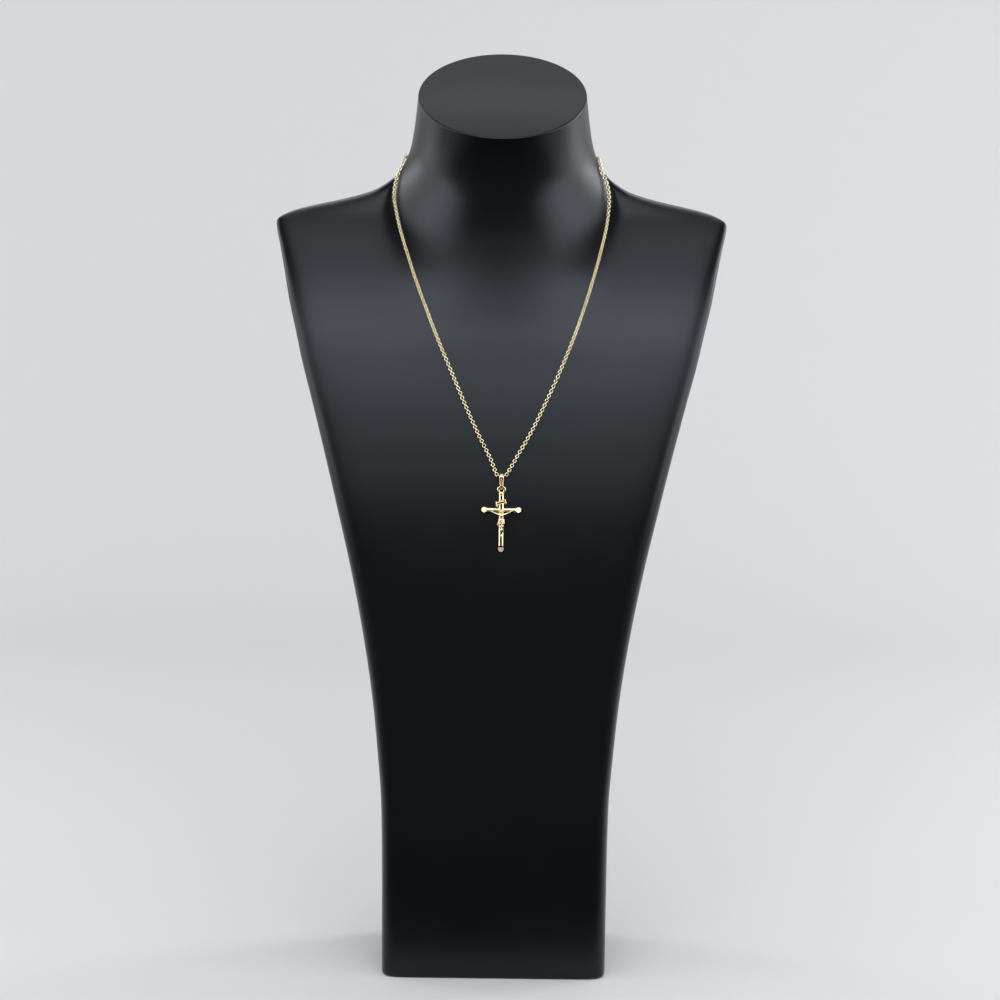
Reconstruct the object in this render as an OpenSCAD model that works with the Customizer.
/* [Neck bust] */
// Height of the shoulder corners above the floor
shoulder_h = 384; // [360:1:410]
// Width across the shoulders
shoulder_w = 232; // [200:1:260]
// Width of the foot
foot_w = 115.5; // [100:1:150]
// Depth of the foot, front to back
foot_depth = 90; // [80:1:110]
// Diameter of the neck at its cut
neck_d = 86; // [78:1:94]
// Rise from the shoulder corners to the middle of the neck cut
neck_rise = 67; // [58:1:80]
// Slope of the neck cut, its front edge low
neck_slope = 30; // [20:1:34]
// Rounding of the edge round the neck cut
rim_round = 0.8; // [0.4:0.1:2]
// Rounding of the edge round the foot
foot_round = 2; // [1:0.1:4]

/* [Chain] */
// Outer diameter of the chain, which is the width of one round link
chain_d = 2.3; // [1.8:0.1:2.4]

/* [Clasp] */
// Outer diameter of the clasp ring
clasp_d = 6; // [5:0.1:7]
// Wire of the clasp ring
clasp_wire = 1.2; // [0.9:0.05:1.5]
// Outer diameter of the small tag rings that the chain ends hang in
tag_d = 2.6; // [2.2:0.1:3.2]
// Wire of the tag rings
tag_wire = 0.6; // [0.5:0.05:0.8]

/* [Bail] */
// Outer height of the bail loop
bail_h = 8.5; // [8:0.1:9.5]
// Width of the bail strip at its top
bail_top_w = 2.3; // [1.8:0.1:2.5]
// Width of the bail strip at its foot
bail_foot_w = 1.3; // [1.0:0.1:1.4]
// Thickness of the bail strip
bail_strip = 0.6; // [0.5:0.05:0.9]
// Clearance between the chain and the inside of the bail
bail_clear = 0.3; // [0.3:0.05:0.8]

/* [Cross] */
// Height of the cross below its eye ring
cross_h = 30.2; // [26:0.1:34]
// Width across the beam
cross_w = 20; // [17:0.1:24]
// Diameter of the upright tube
upright_d = 2.7; // [2.4:0.05:3]
// Diameter of the beam tube
beam_d = 2.2; // [1.9:0.05:2.6]
// Diameter of the flared ends at their cut faces
end_d = 3; // [2.8:0.05:3.4]
// Length of each flare
flare_l = 3.6; // [3:0.1:4.5]
// Drop from the top of the upright to the middle of the beam
beam_drop = 8.6; // [8.2:0.1:11]
// Angle of the polished cuts at the ends of the beam
cut_angle = 45; // [40:1:50]
// Angle of the polished cut at the foot
foot_cut = 52; // [40:1:54]
// Height of the collar on top of the upright
collar_h = 0.9; // [0.6:0.1:1.4]
// How far the collar stands proud of the upright
collar_proud = 0.06; // [0.04:0.02:0.12]
// Outer diameter of the eye ring
eye_d = 4.6; // [4.5:0.1:5.2]
// Wire of the eye ring
eye_wire = 1.3; // [1.1:0.05:1.35]

/* [Title scroll] */
// Length of the scroll, curl to curl
scroll_l = 5.6; // [5:0.1:6.4]
// Height of the banner between the curls
scroll_h = 1.9; // [1.6:0.1:2.3]
// Thickness of the banner
scroll_t = 0.45; // [0.35:0.05:0.6]
// Tilt of the scroll, its right end up
scroll_tilt = 16; // [0:1:25]
// Drop from the top of the upright to the middle of the scroll
scroll_drop = 4.6; // [4.5:0.1:5.2]

/* [Figure] */
// Height of the figure, crown to toes
figure_h = 14; // [12.5:0.1:15]
// Span of the arms, hand to hand
arm_span = 12.2; // [11:0.1:13]

/* [Clearances] */
// How far the eye ring's middle hangs below the middle of the bail's foot
eye_hang = 0.2; // [0.1:0.05:0.25]
// Gap under the castings that are pinned to the cross
pin_gap = 0.05; // [0.03:0.01:0.1]

/* [Hidden] */
$fn = 48;

// Columns of the section tables of the bust
HEIGHT = 0; // body: share of shoulder_h; neck: share of neck_rise above it
SPREAD = 1; // half width, from the foot's to the shoulder's, or from the neck's to it
MIDDLE = 2; // middle line, front to back, a share of foot_depth
FRONT = 3;  // depth of the flat slab before the middle line, a share of foot_depth
BACK = 4;   // depth of the flat slab behind it, a share of foot_depth
THROAT = 5; // depth of the neck column before it, a share of neck_d
NAPE = 6;   // depth of the neck column behind it, a share of neck_d
CORNER = 7; // exponent of the slab's corners: 2 is an ellipse, 14 nearly square
COLUMN = 8; // half width of the neck column, a share of neck_d
SWELL = 9;  // exponent of the column's outline: 0.5 is an ellipse, 2 a soft bell
LEAN = 10;  // lean of the section, a share of neck_slope

BODY = [
    [0.000, 0.000, 0.000, 0.500, 0.500, 0.000, 0.000, 14.0, 1.279, 2.00, 0],
    [0.220, 0.012, 0.000, 0.500, 0.500, 0.000, 0.000, 14.0, 1.279, 2.00, 0],
    [0.300, 0.048, 0.000, 0.500, 0.495, 0.000, 0.000, 14.0, 1.279, 2.00, 0],
    [0.385, 0.106, 0.000, 0.500, 0.483, 0.000, 0.000, 14.0, 1.279, 2.00, 0],
    [0.470, 0.192, 0.000, 0.500, 0.461, 0.000, 0.000, 14.0, 1.279, 2.00, 0],
    [0.550, 0.294, 0.000, 0.496, 0.433, 0.000, 0.000, 14.0, 1.279, 2.00, 0],
    [0.633, 0.419, 0.000, 0.478, 0.400, 0.000, 0.000, 14.0, 1.279, 2.00, 0],
    [0.700, 0.525, 0.000, 0.444, 0.375, 0.000, 0.020, 14.0, 1.279, 2.00, 0],
    [0.768, 0.639, 0.011, 0.406, 0.344, 0.040, 0.090, 14.0, 1.279, 2.00, 0],
    [0.820, 0.731, 0.033, 0.378, 0.317, 0.110, 0.150, 14.0, 1.240, 2.00, 0],
    [0.860, 0.793, 0.061, 0.359, 0.289, 0.171, 0.214, 13.5, 1.170, 1.85, 0],
    [0.900, 0.858, 0.100, 0.331, 0.256, 0.265, 0.270, 13.0, 1.071, 1.70, 0],
    [0.940, 0.912, 0.142, 0.287, 0.222, 0.353, 0.298, 12.5, 0.958, 1.51, 0],
    [0.970, 0.956, 0.174, 0.233, 0.200, 0.417, 0.322, 12.0, 0.872, 1.30, 0],
    [1.000, 1.000, 0.200, 0.167, 0.183, 0.464, 0.342, 11.0, 0.798, 1.12, 0],
];

NECK = [
    [0.045, 0.989, 0.204, 0.144, 0.181, 0.474, 0.350, 10.0, 0.790, 1.11, 0.010],
    [0.075, 0.943, 0.207, 0.130, 0.180, 0.480, 0.355, 9.0, 0.778, 1.08, 0.020],
    [0.104, 0.870, 0.208, 0.117, 0.180, 0.484, 0.360, 8.0, 0.763, 1.04, 0.035],
    [0.134, 0.760, 0.208, 0.105, 0.179, 0.486, 0.366, 7.0, 0.748, 1.01, 0.060],
    [0.180, 0.560, 0.208, 0.089, 0.178, 0.490, 0.377, 6.0, 0.727, 0.97, 0.110],
    [0.228, 0.389, 0.206, 0.077, 0.173, 0.493, 0.390, 5.1, 0.704, 0.92, 0.170],
    [0.275, 0.285, 0.202, 0.067, 0.165, 0.493, 0.403, 4.4, 0.682, 0.88, 0.235],
    [0.367, 0.170, 0.189, 0.050, 0.133, 0.492, 0.430, 3.4, 0.636, 0.79, 0.370],
    [0.463, 0.109, 0.172, 0.033, 0.089, 0.493, 0.459, 2.7, 0.594, 0.71, 0.500],
    [0.580, 0.062, 0.148, 0.017, 0.044, 0.496, 0.480, 2.3, 0.559, 0.62, 0.645],
    [0.730, 0.033, 0.106, 0.000, 0.000, 0.499, 0.494, 2.0, 0.535, 0.57, 0.800],
    [0.888, 0.013, 0.048, 0.000, 0.000, 0.498, 0.499, 2.0, 0.515, 0.53, 0.930],
    [1.000, 0.000, 0.000, 0.000, 0.000, 0.500, 0.500, 2.0, 0.500, 0.50, 1.000],
];

// Points of the bust's outline, and sections between two rows of a table
BUST_N = 60;
BUST_STEPS = 2;

// The same rows in millimetres and degrees, lowest first
STATIONS = concat(
    [
        for (r = BODY)
            concat(
                [
                    foot_round + r[HEIGHT] * (shoulder_h - foot_round),
                    (foot_w + r[SPREAD] * (shoulder_w - foot_w)) / 2
                ],
                depths(r)
            )
    ],
    [
        for (r = NECK)
            concat(
                [
                    shoulder_h + r[HEIGHT] * (neck_rise - rim_round),
                    (neck_d + r[SPREAD] * (shoulder_w - neck_d)) / 2
                ],
                depths(r)
            )
    ]
);

function depths(r) = [
    r[MIDDLE] * foot_depth,
    r[FRONT] * foot_depth,
    r[BACK] * foot_depth,
    r[THROAT] * neck_d,
    r[NAPE] * neck_d,
    r[CORNER],
    r[COLUMN] * neck_d,
    r[SWELL],
    r[LEAN] * neck_slope
];

function slope(t, col, i) =
    let (a = max(i - 1, 0), b = min(i + 1, len(t) - 1))
    (t[b][col] - t[a][col]) / (t[b][HEIGHT] - t[a][HEIGHT]);

// One column of a table, on a smooth curve through its rows
function smooth(t, col, i, u) =
    let (
        step = t[i + 1][HEIGHT] - t[i][HEIGHT],
        u2 = u * u,
        u3 = u2 * u
    )
    (2 * u3 - 3 * u2 + 1) * t[i][col] + (u3 - 2 * u2 + u) * step * slope(t, col, i)
    + (3 * u2 - 2 * u3) * t[i + 1][col] + (u3 - u2) * step * slope(t, col, i + 1);

function between(t, i, u) = concat(
    [t[i][HEIGHT] + u * (t[i + 1][HEIGHT] - t[i][HEIGHT])],
    [for (col = [1:len(t[i]) - 1]) smooth(t, col, i, u)]
);

function sections(t, steps) = concat(
    [for (i = [0:len(t) - 2], k = [0:steps - 1]) between(t, i, k / steps)],
    [t[len(t) - 1]]
);

// Depth of a section at x on one side, slab and neck column run into each other
function depth_at(s, x, slab, column) =
    let (
        half_column = min(s[COLUMN], s[SPREAD]),
        edge = pow(max(0, 1 - pow(abs(x) / s[SPREAD], s[CORNER])), 1 / s[CORNER]),
        swell = pow(max(0, 1 - pow(x / half_column, 2)), s[SWELL])
    )
    pow(pow(slab * edge, 3) + pow(column * swell, 3), 1 / 3);

// A point of a section's outline; 0 is the viewer's left, 90 the front
function outline_point(s, a, inset = 0, rise = 0) =
    let (
        x = -s[SPREAD] * cos(a),
        front = sin(a) > 0,
        deep = depth_at(s, x, front ? s[FRONT] : s[BACK], front ? s[THROAT] : s[NAPE]),
        whole = front ? max(s[FRONT], s[THROAT]) : max(s[BACK], s[NAPE]),
        v = (front ? -1 : 1) * deep * (1 - inset / whole)
    )
    [
        x * (1 - inset / s[SPREAD]),
        s[MIDDLE] + v * cos(s[LEAN]) - rise * sin(s[LEAN]),
        s[HEIGHT] + v * sin(s[LEAN]) + rise * cos(s[LEAN])
    ];

function ring(s, inset = 0, rise = 0) = [
    for (k = [0:BUST_N - 1]) outline_point(s, 360 * k / BUST_N, inset, rise)
];

// Faces of a closed skin over rings of n points each
function skin(rings, n) = concat(
    [[for (k = [0:n - 1]) k]],
    [
        for (i = [0:rings - 2], k = [0:n - 1], half = [0, 1])
            let (a = i * n + k, b = i * n + (k + 1) % n)
            half == 0 ? [a, a + n, b] : [b, a + n, b + n]
    ],
    [[for (k = [n - 1:-1:0]) (rings - 1) * n + k]]
);

module bust() {
    foot = STATIONS[0];
    top = STATIONS[len(STATIONS) - 1];
    rings = concat(
        [for (q = [0, 45]) ring(foot, foot_round * (1 - sin(q)), -foot_round * cos(q))],
        [for (s = sections(STATIONS, BUST_STEPS)) ring(s)],
        [for (q = [45, 90]) ring(top, rim_round * (1 - cos(q)), rim_round * sin(q))]
    );
    color("#26292b")
        polyhedron([for (g = rings, p = g) p], skin(len(rings), BUST_N));
}

// Lowest point of the chain, where the bail hangs
APEX = [1.8, -46, 260.4];

// The fastener at the nape: its middle, and its lean against the slope of the neck
CLASP_AT = [0, 54.7, 428];
CLASP_TILT = 5;

// Middle line of the chain: from the fastener round the right side of the neck, down
// the chest to the bail, and up round the left side
CHAIN_ROUTE = [
    [5.0, 54.7, 428.0], [10.8, 53.7, 427.8], [16.2, 52.1, 427.4], [24.7, 48.4, 426.3],
    [32.3, 43.4, 424.6], [38.9, 37.6, 422.5], [44.6, 31.2, 420.1], [48.7, 24.0, 419.0],
    [50.4, 17.2, 419.0], [50.8, 12.4, 416.9], [51.8, 10.7, 412.2], [54.1, 10.1, 406.9],
    [55.4, 7.3, 400.3], [55.2, 3.2, 392.6], [53.8, -3.1, 383.2], [51.3, -9.9, 372.9],
    [48.2, -16.4, 361.8], [44.1, -22.6, 348.4], [38.4, -28.3, 331.9], [31.0, -33.0, 313.5],
    [23.4, -37.0, 296.7], [16.2, -40.6, 282.2], [9.2, -43.4, 270.1], [5.0, -45.4, 262.7],
    [4.0, -45.8, 261.1], [3.5, -46.0, 260.6], [2.9, -46.0, 260.4], [1.8, -46.0, 260.4],
    [0.7, -46.0, 260.4], [0.1, -46.0, 260.6], [-0.4, -45.8, 261.1], [-1.2, -45.4, 262.8],
    [-4.3, -43.4, 270.1], [-10.6, -40.6, 282.2], [-18.0, -37.0, 298.0], [-24.9, -33.0, 313.6],
    [-31.4, -29.4, 328.3], [-37.9, -24.5, 344.1], [-43.9, -18.1, 359.3], [-48.1, -11.6, 371.1],
    [-51.9, -4.2, 382.3], [-54.1, 1.7, 390.7], [-55.5, 6.8, 397.7], [-55.3, 10.5, 404.4],
    [-54.0, 13.0, 410.2], [-51.9, 13.9, 415.2], [-50.8, 16.0, 418.5], [-49.1, 23.2, 418.8],
    [-44.6, 31.2, 420.1], [-38.9, 37.6, 422.5], [-32.3, 43.4, 424.6], [-24.7, 48.4, 426.3],
    [-16.2, 52.1, 427.4], [-10.8, 53.7, 427.8], [-5.0, 54.7, 428.0],
];

// Sides of the chain's tube, its longest stretch between two rings, and the upright
// line that the links of the chain face away from
CHAIN_SIDES = 8;
CHAIN_STEP = 6;
CHAIN_AXIS_Y = 12;

// Length of the route up to its point i
function run(i) = i == 0 ? 0 : run(i - 1) + norm(CHAIN_ROUTE[i] - CHAIN_ROUTE[i - 1]);

CHAIN_ROWS = [for (i = [0:len(CHAIN_ROUTE) - 1]) concat([run(i)], CHAIN_ROUTE[i])];

function chain_line() = concat(
    [
        for (i = [0:len(CHAIN_ROWS) - 2])
            let (n = ceil((CHAIN_ROWS[i + 1][0] - CHAIN_ROWS[i][0]) / CHAIN_STEP))
            for (k = [0:n - 1]) between(CHAIN_ROWS, i, k / n)
    ],
    [CHAIN_ROWS[len(CHAIN_ROWS) - 1]]
);

function unit(v) = v / norm(v);

function point(row) = [row[1], row[2], row[3]];

// One ring of a tube at point i of a line
function tube_ring(line, i, r, sides) =
    let (
        last = len(line) - 1,
        at = point(line[i]),
        along = unit(point(line[min(i + 1, last)]) - point(line[max(i - 1, 0)])),
        away = [at[0], at[1] - CHAIN_AXIS_Y, 0],
        out = unit(away - (away * along) * along),
        across = cross(out, along)
    )
    [
        for (k = [0:sides - 1])
            let (a = 360 * (k + 0.5) / sides)
            at + r * (cos(a) * out + sin(a) * across)
    ];

module chain() {
    line = chain_line();
    rings = [for (i = [0:len(line) - 1]) tube_ring(line, i, chain_d / 2, CHAIN_SIDES)];
    color("#c9a24c")
        polyhedron([for (g = rings, p = g) p], skin(len(rings), CHAIN_SIDES));
}

// A ring of round wire about the Z axis
module wire_ring(d, wire) {
    rotate_extrude()
        translate([(d - wire) / 2, 0])
            circle(d = wire);
}

module clasp() {
    tag_at = (clasp_d - clasp_wire + tag_d - tag_wire) / 2;
    color("#c9a24c")
        translate(CLASP_AT)
            rotate([CLASP_TILT - 90, 0, 0]) {
                wire_ring(clasp_d, clasp_wire);
                for (side = [-1, 1])
                    translate([side * tag_at, 0, 0])
                        wire_ring(tag_d, tag_wire);
            }
}

// The bail is a loop of flat strip: two half rounds and two straight legs
bail_in = chain_d / 2 + bail_clear;
bail_out = bail_in + bail_strip;
bail_leg = bail_h - 2 * bail_out;

module half_round() {
    rotate_extrude(angle = 180)
        translate([bail_in, -bail_top_w])
            square([bail_strip, 2 * bail_top_w]);
}

module bail_loop() {
    rotate([90, 0, 90]) {
        half_round();
        translate([0, -bail_leg, 0])
            rotate([0, 0, 180])
                half_round();
        for (side = [-1, 1])
            translate([side * (bail_in + bail_strip / 2), -bail_leg / 2, 0])
                cube([bail_strip, bail_leg, 2 * bail_top_w], center = true);
    }
}

// Front view of the strip, wide at the chain and narrow in the eye ring
module bail_taper() {
    top = bail_out;
    foot = -bail_leg - bail_out;
    margin = (bail_top_w - bail_foot_w) / (2 * bail_h);
    rotate([90, 0, 0])
        linear_extrude(height = 4 * bail_out, center = true)
            polygon([
                [-bail_top_w / 2 - margin, top + 1],
                [bail_top_w / 2 + margin, top + 1],
                [bail_foot_w / 2 - margin, foot - 1],
                [-bail_foot_w / 2 + margin, foot - 1]
            ]);
}

module bail() {
    color("#c9a24c")
        translate(APEX)
            intersection() {
                bail_loop();
                bail_taper();
            }
}

// Heights below the chain's lowest point: the eye ring's middle, the top of the upright
eye_drop = bail_leg + bail_in + bail_strip / 2 + eye_hang;
EYE_SINK = 0.6;
top_drop = eye_drop + eye_d / 2 - EYE_SINK;

// A half space beyond a slanting cut at the end of a tube that points up, the cut
// facing the front and meeting the tube's end at the back
module end_cut(length, angle) {
    translate([0, end_d / 2, length])
        rotate([angle, 0, 0])
            translate([-2 * end_d, -4 * end_d, 0])
                cube([4 * end_d, 8 * end_d, 4 * end_d]);
}

// A tube that points up, flared at its end, with a slanting polished cut
module arm(d, length, angle) {
    difference() {
        union() {
            cylinder(d = d, h = length - flare_l);
            translate([0, 0, length - flare_l])
                cylinder(d1 = d, d2 = end_d, h = flare_l);
        }
        end_cut(length, angle);
    }
}

module cross_body() {
    rotate([0, 180, 0])
        arm(upright_d, cross_h, foot_cut);
    translate([0, 0, -collar_h])
        cylinder(d = upright_d + 2 * collar_proud, h = collar_h);
    for (side = [-1, 1])
        translate([0, 0, -beam_drop])
            rotate([0, side * 90, 0])
                arm(beam_d, cross_w / 2, cut_angle);
    translate([0, 0, eye_d / 2 - EYE_SINK])
        rotate([90, 0, 0])
            wire_ring(eye_d, eye_wire);
}

module cross_node() {
    color("#c9a24c")
        translate(APEX - [0, 0, top_drop])
            cross_body();
}

// What the castings leave free: the tubes of the cross, a little enlarged
module tubes() {
    translate([0, 0, -cross_h])
        cylinder(d = upright_d + 2 * pin_gap, h = cross_h + 1);
    translate([0, 0, -beam_drop])
        rotate([0, 90, 0])
            cylinder(d = beam_d + 2 * pin_gap, h = cross_w, center = true);
}

// Parts of the banner: height of a curl against the banner's, rim, and roll
CURL_TALL = 1.5;
RIM = 0.22;
ROLL_D = 0.9;

module banner() {
    front = scroll_t / 2;
    flat_l = scroll_l - ROLL_D;
    cube([flat_l, scroll_t, scroll_h], center = true);
    for (side = [-1, 1])
        translate([0, -front, side * (scroll_h - RIM) / 2])
            cube([flat_l, 0.3, RIM], center = true);
    translate([-flat_l / 2 - 0.1, -0.12, -0.25 * scroll_h])
        rotate([0, 12, 0])
            cylinder(d = ROLL_D, h = scroll_h * CURL_TALL, center = true);
    translate([flat_l / 2 + 0.1, -0.12, 0.05 * scroll_h])
        rotate([0, -8, 0])
            cylinder(d = ROLL_D, h = scroll_h * 1.15, center = true);
}

module scroll() {
    color("#c9a24c")
        translate(APEX - [0, 0, top_drop])
            difference() {
                translate([-0.4, -upright_d / 2 - 0.1, -scroll_drop])
                    rotate([0, -scroll_tilt, 0])
                        banner();
                tubes();
            }
}

// Points of the figure in shares of its height, and radii: across, before the
// upright, below the crown
FIG_X = 0;
FIG_Y = 1;
FIG_Z = 2;
FIG_R = 3;

// A chain of balls joined one to the next; the last column is the radius
TRUNK = [
    [[-0.004, 0.075, 0.058, 0.056], [-0.006, 0.093, 0.095, 0.042], [-0.007, 0.104, 0.125, 0.024]],
    [[-0.004, 0.061, 0.100, 0.046], [0.005, 0.052, 0.165, 0.030]],
    [[-0.093, 0.054, 0.189, 0.034], [0.111, 0.054, 0.189, 0.034], [0.011, 0.064, 0.207, 0.054]],
    [[-0.032, 0.068, 0.236, 0.057], [0.054, 0.068, 0.236, 0.057], [0.009, 0.064, 0.300, 0.054]],
    [[-0.007, 0.061, 0.307, 0.046], [0.027, 0.061, 0.307, 0.046], [0.009, 0.057, 0.357, 0.050]],
    [[0.009, 0.057, 0.350, 0.054], [-0.029, 0.061, 0.421, 0.057], [0.046, 0.061, 0.421, 0.057]],
];
LEGS = [
    [[-0.030, 0.071, 0.486, 0.050], [-0.018, 0.096, 0.629, 0.044], [-0.007, 0.114, 0.736, 0.033]],
    [[-0.007, 0.114, 0.736, 0.033], [-0.002, 0.079, 0.814, 0.030], [0.004, 0.051, 0.914, 0.019]],
    [[0.004, 0.051, 0.914, 0.019], [0.000, 0.075, 0.957, 0.019], [-0.001, 0.086, 0.980, 0.014]],
    [[0.047, 0.071, 0.486, 0.050], [0.046, 0.089, 0.621, 0.044], [0.043, 0.100, 0.729, 0.033]],
    [[0.043, 0.100, 0.729, 0.033], [0.041, 0.068, 0.807, 0.030], [0.027, 0.037, 0.907, 0.019]],
    [[0.027, 0.037, 0.907, 0.019], [0.030, 0.061, 0.946, 0.018], [0.032, 0.071, 0.971, 0.014]],
];
CLOTH = [
    [[-0.071, 0.061, 0.357, 0.036], [0.086, 0.061, 0.354, 0.036], [0.007, 0.096, 0.450, 0.054]],
    [[-0.071, 0.061, 0.357, 0.036], [-0.071, 0.075, 0.521, 0.044], [0.007, 0.096, 0.450, 0.054]],
    [[0.086, 0.061, 0.354, 0.036], [0.082, 0.075, 0.514, 0.047], [0.007, 0.096, 0.450, 0.054]],
    [[-0.071, 0.075, 0.521, 0.044], [0.082, 0.075, 0.514, 0.047], [0.006, 0.104, 0.543, 0.049]],
    [[-0.107, 0.068, 0.486, 0.030], [-0.125, 0.075, 0.543, 0.030], [-0.121, 0.064, 0.593, 0.020]],
];
// Arms: the first column is a share of half the arm span
ARMS = [
    [[0.230, 0.054, 0.189, 0.035], [0.574, 0.039, 0.125, 0.026]],
    [[0.574, 0.039, 0.125, 0.026], [0.700, 0.036, 0.096, 0.024], [0.869, 0.027, 0.054, 0.016]],
    [[0.869, 0.027, 0.054, 0.016], [0.943, 0.027, 0.037, 0.022], [0.985, 0.027, 0.020, 0.012]],
];

module balls(row, wide) {
    hull()
        for (p = row)
            translate([p[FIG_X] * wide, -p[FIG_Y] * figure_h, -p[FIG_Z] * figure_h])
                sphere(r = p[FIG_R] * figure_h, $fn = 10);
}

module figure_body() {
    for (row = concat(TRUNK, LEGS, CLOTH))
        balls(row, figure_h);
    for (side = [-1, 1], row = ARMS)
        balls(row, side * arm_span / 2);
}

// How far the crown of the figure stands above the middle of the beam
CROWN_RISE = 0.5;

module figure() {
    color("#c9a24c")
        translate(APEX - [0, 0, top_drop])
            difference() {
                translate([0, -upright_d / 2, CROWN_RISE - beam_drop])
                    figure_body();
                tubes();
            }
}

bust();
chain();
clasp();
bail();
cross_node();  // cross
scroll();
figure();
